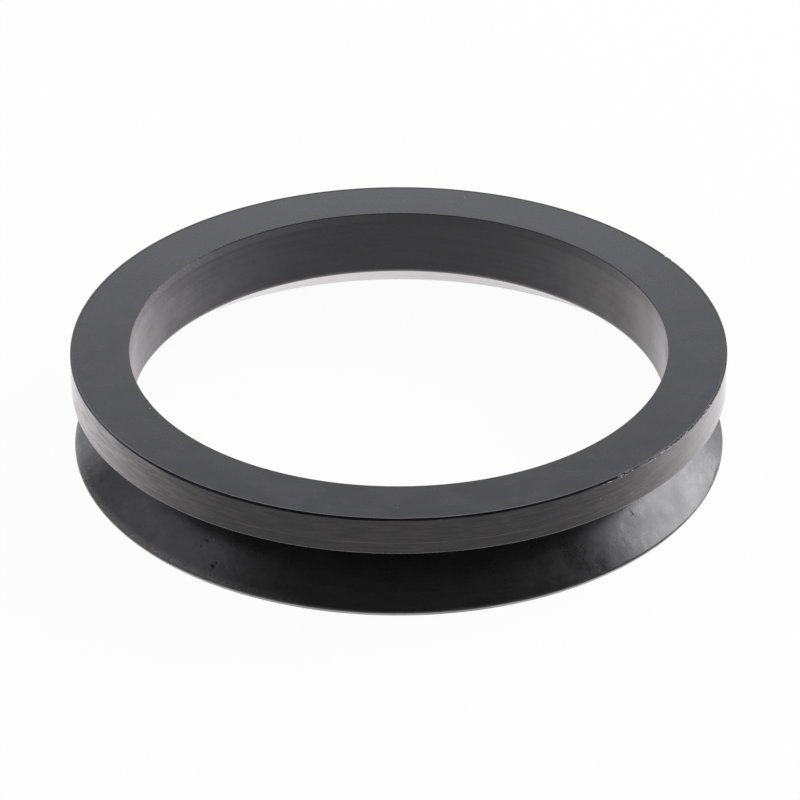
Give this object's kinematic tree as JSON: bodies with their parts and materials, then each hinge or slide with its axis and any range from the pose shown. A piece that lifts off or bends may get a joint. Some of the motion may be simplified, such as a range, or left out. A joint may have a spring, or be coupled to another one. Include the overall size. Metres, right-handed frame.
{
  "type": "v ring seal",
  "caption": "Moulded rubber V-ring shaft seal: a flat-backed ring body with a V groove and a flexible conical lip that seals against a face square to the shaft.",
  "frame": {"origin": "on the shaft axis, in the plane of the lip's sealing edge, which the ring stands on", "axes": "+Z along the shaft axis, from the lip towards the flat back; X and Y lie in the plane of the lip's edge, and the ring is the same all round"},
  "size_m": [0.055, 0.055, 0.0093],
  "materials": {
    "rubber": "matte moulded back, satin band with fine turning lines, glossy lip"
  },
  "bodies": {
    "root": {"v_ring": "rubber"}
  },
  "joints": []
}
